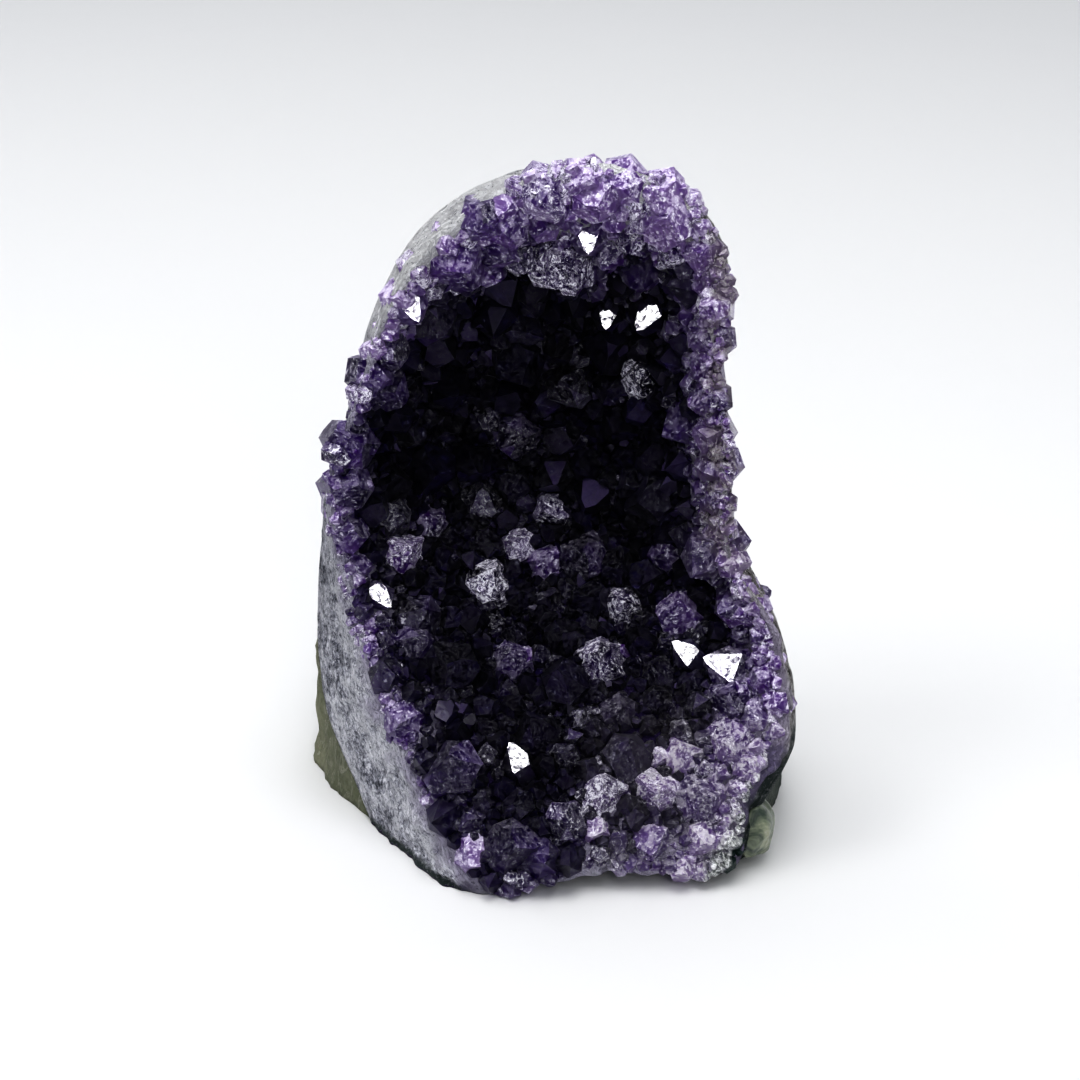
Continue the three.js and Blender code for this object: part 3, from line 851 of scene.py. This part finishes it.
def amethyst():
    """Amethyst: clear quartz of refractive index 1.544 that swallows green and red light. Its colour runs
    from near black in the hollow, partly its own deep colour and partly painted shade, to milky lavender
    near the rim, lighter by painted light on faces turned up. Each face has its own tone, and faces turned
    down get a painted violet glow. Frosted crystals are covered with tiny faces; painted glints, white
    flecks and wisps of painted highlight lie on them and on the pale crystals. Dust browns the right rim,
    and low on the right it turns to sugary quartz beside a dark seam that is partly painted shade."""
    finish = Finish("amethyst")
    where = finish.place()
    aside = finish.part(where, "X")
    high = finish.part(where, "Z")
    pale = finish.attribute("pale")
    frost = finish.attribute("frost")
    tone = finish.attribute("tone")
    gloss = finish.attribute("gloss")
    up = finish.attribute("up")
    zones = finish.noise(where, 170, 3)
    veil = finish.noise(where, 420, 5, 0.7, 1.5)
    mottle = finish.noise(where, 850, 5, 0.65, 0.6)
    chip = finish.node("ShaderNodeSeparateColor", {}, {"Color": finish.cells(where, 620, "Color")})
    glitter = finish.node("ShaderNodeSeparateColor", {}, {"Color": finish.cells(where, 1500, "Color")})
    patch = frost.above(0.62, 4.0) * ((veil - 0.52 + tone * 0.3) * 9.0).held()
    flake = finish.noise(where, 950, 4, 0.7, 1.0)
    # Painted glints: white sparkle on the frosted crust, and white flecks on the paler crystals, stand in
    # for light caught by tiny faces.
    painted_sparkle = flake.above(0.56, 12.0) * patch
    painted_fleck = flake.above(0.545, 14.0) * veil.above(0.42, 8.0) * (pale * 1.3 + frost * 0.3 - 0.09).held()
    # White lines through the veils: partly white veils inside the quartz, partly painted highlight.
    wisp_and_highlight = veil.line(40.0)
    # The violet runs from near black in the hollow to lavender at the rim: partly the amethyst's own deeper
    # colour, partly painted shade of the hollow. The tone's painted glow lifts faces turned down.
    depth = (pale + (zones - 0.5) * 0.7 + (tone - 0.35) * 0.4).held()
    purple = finish.ramp(depth, [(0.0, (0.0007, 0.0005, 0.004)), (0.25, (0.009, 0.003, 0.038)),
                                 (0.5, (0.055, 0.012, 0.17)), (0.78, (0.17, 0.05, 0.36)),
                                 (1.0, (0.34, 0.2, 0.52))])
    # Milky lilac mottle on the pale crystals, with more of it on faces turned up: that part is painted
    # light on their tops.
    lilac = ((mottle + chip * 0.2 - 0.6) * 13.0 + (up - 0.3) * 0.9).held() * (pale * 1.3 - 0.15).held()
    haze = veil.above(0.46, 5.0) * tone.above(0.25, 2.0) * (1.0 - pale * 1.5).held()
    hazed = finish.blend(haze * 0.5, purple, (0.055, 0.035, 0.2, 1))
    greyed = aside.above(0.006, 150.0) * high.below(0.036, 150.0)
    milky = finish.blend(greyed, (0.75, 0.68, 0.85, 1), (0.82, 0.79, 0.82, 1))
    scuffs = flake.above(0.55, 12.0) * veil.above(0.48, 6.0)
    scuffed = finish.blend(scuffs * 0.5, hazed, (0.28, 0.28, 0.42, 1))
    body = finish.blend(lilac * 0.8, scuffed, milky)
    crust_level = flake + (veil - 0.5) * 0.35 + (tone - 0.35) * 0.12
    crust = finish.ramp(crust_level, [(0.44, (0.006, 0.005, 0.015)), (0.51, (0.2, 0.17, 0.28)),
                                      (0.57, (0.9, 0.88, 0.95))])
    crusted = finish.blend(patch * 0.85, body, crust)
    # The painted highlights are laid over the colour in near white.
    lights = (painted_sparkle + painted_fleck + wisp_and_highlight * (pale * 0.5 + frost * 0.2 + 0.07)).held()
    highlighted = finish.blend(lights, crusted, (0.95, 0.93, 1.0, 1))
    dust = aside.above(0.031, 250.0) * high.above(0.05, 60.0) * zones.above(0.42, 8.0)
    dusty = finish.blend(dust * 0.65, highlighted, (0.14, 0.12, 0.095, 1))
    greyish = finish.blend(greyed * 0.25, dusty, (0.3, 0.28, 0.31, 1))
    # How far to the right of the seam, which leans outwards as it rises.
    slant = aside - 0.0403 - (high - 0.006) * 0.61 + (zones - 0.5) * 0.008
    low = high.below(0.031, 250.0)
    sugary = ((slant + 0.008) * 250.0).held() * low
    sugar = finish.ramp(flake, [(0.4, (0.03, 0.045, 0.04)), (0.5, (0.3, 0.33, 0.29)),
                                (0.6, (0.85, 0.86, 0.85))])
    sugared = finish.blend(sugary * 0.8, greyish, sugar)
    # Low down, right of the seam, the crystals turn dark teal: partly the basalt of the seam, partly
    # painted shade in the gap.
    seamed_and_shaded = finish.blend(((slant + 0.0012) * 700.0).held() * low, sugared, (0.018, 0.034, 0.032, 1))
    clear_tint = finish.ramp(depth, [(0.0, (0.015, 0.01, 0.06)), (0.3, (0.08, 0.035, 0.24)),
                                     (0.6, (0.36, 0.2, 0.65)), (1.0, (0.85, 0.78, 0.95))])
    height = (glitter * 0.5 + flake) * patch + veil * (0.1 + pale * 0.35)
    bump = finish.bump(height, 0.6, 0.0004)
    polish = (gloss * (1.0 - patch * 0.8) * mottle.above(0.38, 8.0) * (1.0 - wisp_and_highlight)).held()
    faces = {"Normal": bump, "IOR": QUARTZ_INDEX, "Coat IOR": QUARTZ_INDEX, "Coat Weight": polish,
             "Coat Roughness": 0.03}
    clear = finish.node("ShaderNodeBsdfPrincipled", {}, {
        **faces, "Base Color": clear_tint, "Roughness": 0.3, "Transmission Weight": 1.0,
        "Specular Tint": (0.3, 0.2, 0.6, 1), "Specular IOR Level": 0.25})
    milk = finish.node("ShaderNodeBsdfPrincipled", {}, {
        **faces, "Base Color": seamed_and_shaded, "Roughness": 0.4, "Specular IOR Level": 0.15})
    share = (0.2 + pale * 0.25 + haze * 0.4 + lilac * 0.4 + patch * 0.6 + painted_fleck + wisp_and_highlight * 0.3
             + sugary + scuffs * 0.4).held()
    both = finish.node("ShaderNodeMixShader", {}, {0: share, 1: clear, 2: milk})
    swallow = finish.node("ShaderNodeVolumeAbsorption", {}, {
        "Color": (0.48, 0.13, 0.72, 1), "Density": 220.0})
    return finish.end(both, swallow)


# The notable crystals come first, then large ones between them, then fine ones in the gaps, and last the
# small ones that ride on points.
across, up, radius, pale, frost, shines = np.array(NOTABLE).T
share, turn = at_places(across, up)
here, normal = hollow_frame(np.minimum(share, 1 - 0.35 * radius / REACH), turn)
notable = {"place": here, "normal": normal, "radius": radius, "pale": pale, "frost": frost * 0.98,
           "shines": shines}
grown(notable, tilt=0.16, tallness=0.5)
mirrored(notable, shines > 0)
main = scatter(MAIN_CRYSTALS, tries=9000, radius_low=2.6, radius_high=6.0, crowding=0.74, spread=0.4,
               taken=notable)
grown(main, tilt=0.24, tallness=0.75)
large = {key: np.concatenate([notable[key], main[key]]) for key in notable}
fine = scatter(FINE_CRYSTALS, tries=20000, radius_low=1.2, radius_high=2.2, crowding=0.62, spread=1.0,
               taken=large)
grown(fine, tilt=0.35, tallness=0.9)
small = riders(large, most=5)
everything = {key: np.concatenate([large[key], fine[key], small[key]]) for key in large}
cluster = joined(everything, "amethyst_crystals")
cluster.data.materials.clear()
cluster.data.materials.append(amethyst())
held_in_front(cluster)
sawn(cluster)
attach(cluster, "root")
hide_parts("amethyst_druse")

# ---------------------------------------------------------------------------------------------------------
# Chalcedony knob. A waxy grey-green lump that grew on the basalt at the lower right, beside a dark seam,
# and broke along a few flat faces.

KNOB_RADII = np.array([5.2, 7.0, 7.0])
KNOB_AT = np.array([42.8, -24.5, 7.8])
KNOB_TURN = 0.2
KNOB_FACES = 12


def knob_lump(down, turn):
    """A direction for each angle down and turn round, pushed out by two slow waves and held behind flat
    faces square to scattered directions, then stretched to three radii and turned about Y."""
    way = np.stack([np.sin(down) * np.cos(turn), np.sin(down) * np.sin(turn), np.cos(down)], -1)
    x, y, z = way[..., 0], way[..., 1], way[..., 2]
    bump = 1 + 0.09 * np.sin(5 * x + 3 * z) + 0.07 * np.cos(6 * y - 4 * z)
    flats = unit(np.random.default_rng(7).normal(size=(KNOB_FACES, 3)))
    held = 0.8 / np.maximum(np.einsum("rcx,fx->rcf", way, flats).max(-1), 0.1)
    lump = way * np.minimum(bump, held)[..., None] * KNOB_RADII
    lump = lump + way * (0.16 * grain(lump, 2.2, 31) + 0.07 * grain(lump, 0.8, 32))[..., None]
    turned = [lump[..., 0] * math.cos(KNOB_TURN) + lump[..., 2] * math.sin(KNOB_TURN), lump[..., 1],
              lump[..., 2] * math.cos(KNOB_TURN) - lump[..., 0] * math.sin(KNOB_TURN)]
    return np.stack(turned, -1) + KNOB_AT


def chalcedony():
    """Waxy chalcedony: grey-green clouded with paler and darker patches, with fine chipped relief."""
    finish = Finish("chalcedony")
    where = finish.place()
    cloud = finish.noise(where, 190, 5, 0.6, 0.8)
    fine = finish.noise(where, 900, 3, 0.6)
    colour = finish.ramp(cloud, [(0.36, (0.05, 0.07, 0.055)), (0.5, (0.18, 0.21, 0.145)),
                                 (0.62, (0.34, 0.36, 0.26)), (0.72, (0.5, 0.48, 0.39))])
    bump = finish.bump(cloud + fine * 0.4, 0.5, 0.0005)
    wax = finish.node("ShaderNodeBsdfPrincipled", {}, {
        "Base Color": colour, "Roughness": 0.5 - fine * 0.3, "Coat Weight": 0.35, "Coat Roughness": 0.25,
        "Normal": bump})
    return finish.end(wax)


knob_down, knob_turn = np.meshgrid(np.linspace(0, np.pi, 90), turns[::3] * -2 * np.pi, indexing="ij")
knob = skin("chalcedony_lump", knob_lump(knob_down, knob_turn) + shift)
knob.data.materials.append(chalcedony())
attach(knob, "root")
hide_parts("chalcedony_knob")

# ---------------------------------------------------------------------------------------------------------
# Floor, lights and camera. A sweep of white paper under a large soft light overhead, with smaller ones in
# front, above, to the left and behind. The camera looks down at the piece from the front.

FLOOR_HALF = 6
FLOOR_HEIGHT = -0.0001   # just under the foot, so that the two don't share a plane
floor_mesh = bpy.data.meshes.new("floor")
floor_mesh.from_pydata([(x * FLOOR_HALF, y * FLOOR_HALF, FLOOR_HEIGHT)
                        for x, y in ((-1, -1), (1, -1), (1, 1), (-1, 1))], [], [(0, 1, 2, 3)])
floor = placed("floor", floor_mesh)
paper = Finish("white paper")
floor.data.materials.append(paper.end(paper.node("ShaderNodeBsdfPrincipled", {}, {
    "Base Color": (0.72, 0.72, 0.72, 1), "Roughness": 0.7, "Specular IOR Level": 0.2})))

FIELD = 2 * math.atan(540 / 1999.5)   # the camera's angle of view
camera_data = bpy.data.cameras.new("camera")
camera_data.angle = FIELD
camera = placed("camera", camera_data)
camera.location = (VIEWER + shift) * MM
camera.rotation_euler = (math.pi / 2 - ELEVATION, 0, 0)
bpy.context.scene.camera = camera


def softbox(name, at, size, power, aim=(0, 0, 0.07)):
    """A square soft light of a size in metres and a power in watts, turned to face a point."""
    data = bpy.data.lights.new(name, "AREA")
    data.shape, data.size, data.energy = "SQUARE", size, power
    lamp = placed(name, data)
    lamp.location = at
    way = np.array(aim) - np.array(at)
    tilt = math.acos(-way[2] / np.linalg.norm(way))
    lamp.rotation_euler = (tilt, 0, math.atan2(way[1], way[0]) - math.pi / 2)


softbox("overhead", (0.0, 0.7, 2.5), 6.0, 56)
softbox("high lamp", (0.06, -0.08, 1.0), 0.5, 3.3)
softbox("front", (0.5, -1.7, 1.2), 0.7, 5.6)
softbox("back left", (-0.7, 0.6, 1.1), 0.5, 1.3)
softbox("small lamp", (LAMP + shift) * MM, 0.07, 0.4)
softbox("left window", (-0.9, -0.2, 1.1), 0.6, 3.4)
world = bpy.data.worlds.new("room")
world.use_nodes = True
world.node_tree.nodes["Background"].inputs["Color"].default_value = (0.85, 0.9, 1.0, 1)
world.node_tree.nodes["Background"].inputs["Strength"].default_value = 0.2
bpy.context.scene.world = world
bpy.context.scene.view_settings.view_transform = "Standard"
bpy.context.scene.view_settings.look = "High Contrast"
